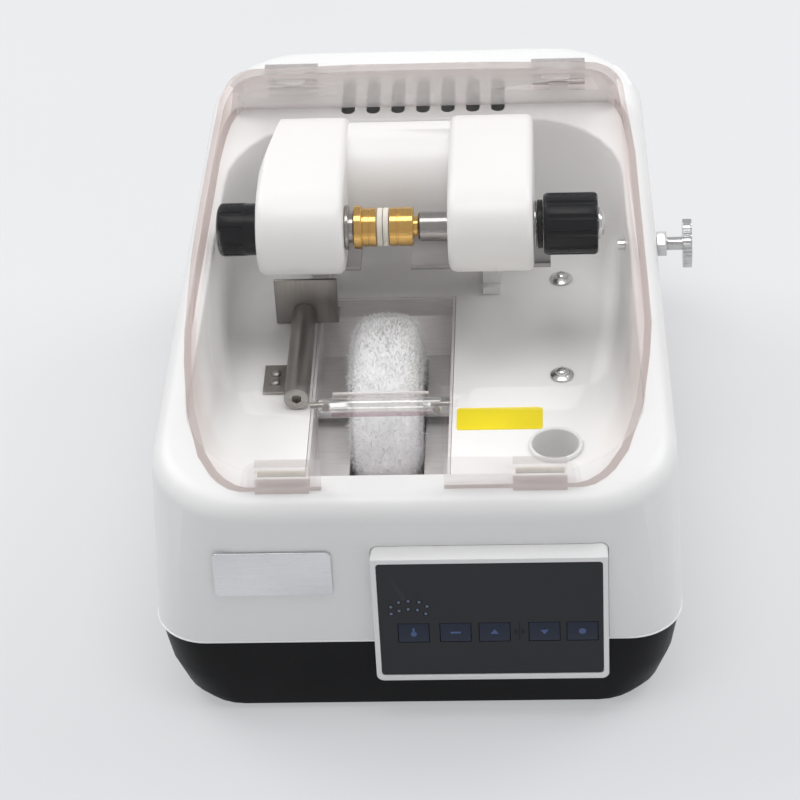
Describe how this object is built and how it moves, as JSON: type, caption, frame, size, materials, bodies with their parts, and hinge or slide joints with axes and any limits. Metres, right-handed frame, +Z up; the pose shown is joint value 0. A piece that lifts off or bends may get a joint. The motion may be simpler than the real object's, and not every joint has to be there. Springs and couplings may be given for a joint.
{
  "type": "lens polishing machine",
  "caption": "Bench lens edge polisher: white body with sunk tray, wool wheel, tilting lens carriage with knobs, front key panel and clear hinged lid.",
  "frame": {"origin": "middle of the footprint's box on the bench plane, under the rubber feet", "axes": "+X to the machine's right as seen from the front, +Y towards its rear, +Z up; the key panel faces -Y"},
  "size_m": [0.29, 0.4092, 0.2235],
  "materials": {
    "white_shell": "satin white moulding",
    "black_tub": "fine satin black",
    "black_plastic": "satin black",
    "overlay_dark": "dark grey film, semi-gloss",
    "board_green": "coated board",
    "rubber_black": "matt rubber",
    "steel": "brushed, bright",
    "dark_steel": "brushed, brownish grey",
    "brass": "turned, bright",
    "felt": "pressed felt",
    "wool": "long soft pile",
    "clear_plastic": "clear, polished"
  },
  "bodies": {
    "machine": {"upper_shell": "white_shell", "lower_tub": "black_tub", "foot_front_left": "rubber_black", "foot_front_right": "rubber_black", "foot_rear_left": "rubber_black", "foot_rear_right": "rubber_black", "panel_housing": "white_shell", "panel_overlay": "overlay_dark", "panel_lights": "overlay_dark", "key_board": "board_green", "front_plate": "steel", "slot_liner": "steel", "bearing_block_left": "dark_steel", "bearing_block_right": "dark_steel", "drive_belt": "rubber_black", "drive_motor": "dark_steel", "mains_inlet": "black_plastic", "carriage_axle": "steel", "pivot_post_left": "white_shell", "pivot_post_right": "white_shell", "stop_plate": "dark_steel", "floor_tube": "dark_steel", "tube_clip": "dark_steel", "floor_screw_1": "steel", "floor_screw_2": "steel", "port_cup": "white_shell", "thumb_nut": "steel", "hinge_block_left": "clear_plastic", "hinge_block_right": "clear_plastic", "hinge_pin_left": "steel", "hinge_pin_right": "steel"},
    "wheel": {"wool_wheel": "wool", "wheel_spindle": "steel", "wheel_pulley": "steel"},
    "motor_rotor": {"motor_pulley": "steel"},
    "carriage": {"carriage_cover": "white_shell", "carriage_frame": "steel", "stop_bolt": "dark_steel", "clamp_ring": "steel", "clamp_collar": "black_plastic"},
    "left_chuck": {"left_knob": "black_plastic", "left_shaft": "steel", "left_pad": "brass", "left_felt": "felt"},
    "quill_body": {"quill": "steel"},
    "right_chuck": {"right_pad": "brass", "right_felt": "felt"},
    "clamp": {"clamp_knob": "black_plastic", "clamp_screw": "steel"},
    "lid_body": {"lid": "clear_plastic", "flap_pin_left": "steel", "flap_pin_right": "steel"},
    "flap_body": {"lid_flap": "clear_plastic"},
    "thumb_pusher": {"thumb_tip": "steel"},
    "thumb_body": {"thumb_screw": "steel"},
    "key_body_1": {"key_1": "overlay_dark"},
    "key_body_2": {"key_2": "overlay_dark"},
    "key_body_3": {"key_3": "overlay_dark"},
    "key_body_4": {"key_4": "overlay_dark"},
    "key_body_5": {"key_5": "overlay_dark"}
  },
  "joints": [
    {"name": "lid_hinge", "type": "hinge", "parent": "machine", "child": "lid_body", "pos_m": [-0.00602, 0.15035, 0.17622], "axis": [-1, 0, 0], "range_deg": [0, 95]},
    {"name": "flap_hinge", "type": "hinge", "parent": "lid_body", "child": "flap_body", "pos_m": [-0.02052, -0.16765, 0.182], "axis": [-1, 0, 0], "range_deg": [0, 80]},
    {"name": "carriage_tilt", "type": "hinge", "parent": "machine", "child": "carriage", "pos_m": [-0.00602, 0.07835, 0.161], "axis": [1, 0, 0], "range_deg": [0, 22]},
    {"name": "left_chuck_spin", "type": "hinge", "parent": "carriage", "child": "left_chuck", "pos_m": [-0.00602, 0.01435, 0.168], "axis": [1, 0, 0], "continuous": true},
    {"name": "clamp_turn", "type": "hinge", "parent": "carriage", "child": "clamp", "pos_m": [-0.00602, 0.01435, 0.168], "axis": [1, 0, 0], "range_deg": [0, 1800]},
    {"name": "quill_slide", "type": "slide", "parent": "carriage", "child": "quill_body", "axis": [1, 0, 0], "range_m": [0, 0.01]},
    {"name": "right_chuck_spin", "type": "hinge", "parent": "quill_body", "child": "right_chuck", "pos_m": [-0.00602, 0.01435, 0.168], "axis": [1, 0, 0], "continuous": true},
    {"name": "wheel_spin", "type": "hinge", "parent": "machine", "child": "wheel", "pos_m": [-0.00602, -0.01965, 0.068], "axis": [1, 0, 0], "continuous": true},
    {"name": "motor_spin", "type": "hinge", "parent": "machine", "child": "motor_rotor", "pos_m": [-0.00602, 0.12035, 0.046], "axis": [1, 0, 0], "continuous": true},
    {"name": "thumb_slide", "type": "slide", "parent": "machine", "child": "thumb_pusher", "axis": [1, 0, 0], "range_m": [0, 0.008]},
    {"name": "thumb_turn", "type": "hinge", "parent": "thumb_pusher", "child": "thumb_body", "pos_m": [-0.00602, 0.03535, 0.139], "axis": [1, 0, 0], "range_deg": [0, 2304]},
    {"name": "key_1_press", "type": "slide", "parent": "machine", "child": "key_body_1", "axis": [0, 1, 0], "range_m": [0, 0.0008], "stiffness_N_per_m": 600},
    {"name": "key_2_press", "type": "slide", "parent": "machine", "child": "key_body_2", "axis": [0, 1, 0], "range_m": [0, 0.0008], "stiffness_N_per_m": 600},
    {"name": "key_3_press", "type": "slide", "parent": "machine", "child": "key_body_3", "axis": [0, 1, 0], "range_m": [0, 0.0008], "stiffness_N_per_m": 600},
    {"name": "key_4_press", "type": "slide", "parent": "machine", "child": "key_body_4", "axis": [0, 1, 0], "range_m": [0, 0.0008], "stiffness_N_per_m": 600},
    {"name": "key_5_press", "type": "slide", "parent": "machine", "child": "key_body_5", "axis": [0, 1, 0], "range_m": [0, 0.0008], "stiffness_N_per_m": 600}
  ],
  "couplings": [
    {"joint": "right_chuck_spin", "follows": "left_chuck_spin", "ratio": 1},
    {"joint": "quill_slide", "follows": "clamp_turn", "m_per_rad": 0.00031831},
    {"joint": "motor_spin", "follows": "wheel_spin", "ratio": 1.2667},
    {"joint": "thumb_slide", "follows": "thumb_turn", "m_per_rad": 0.00019894}
  ]
}
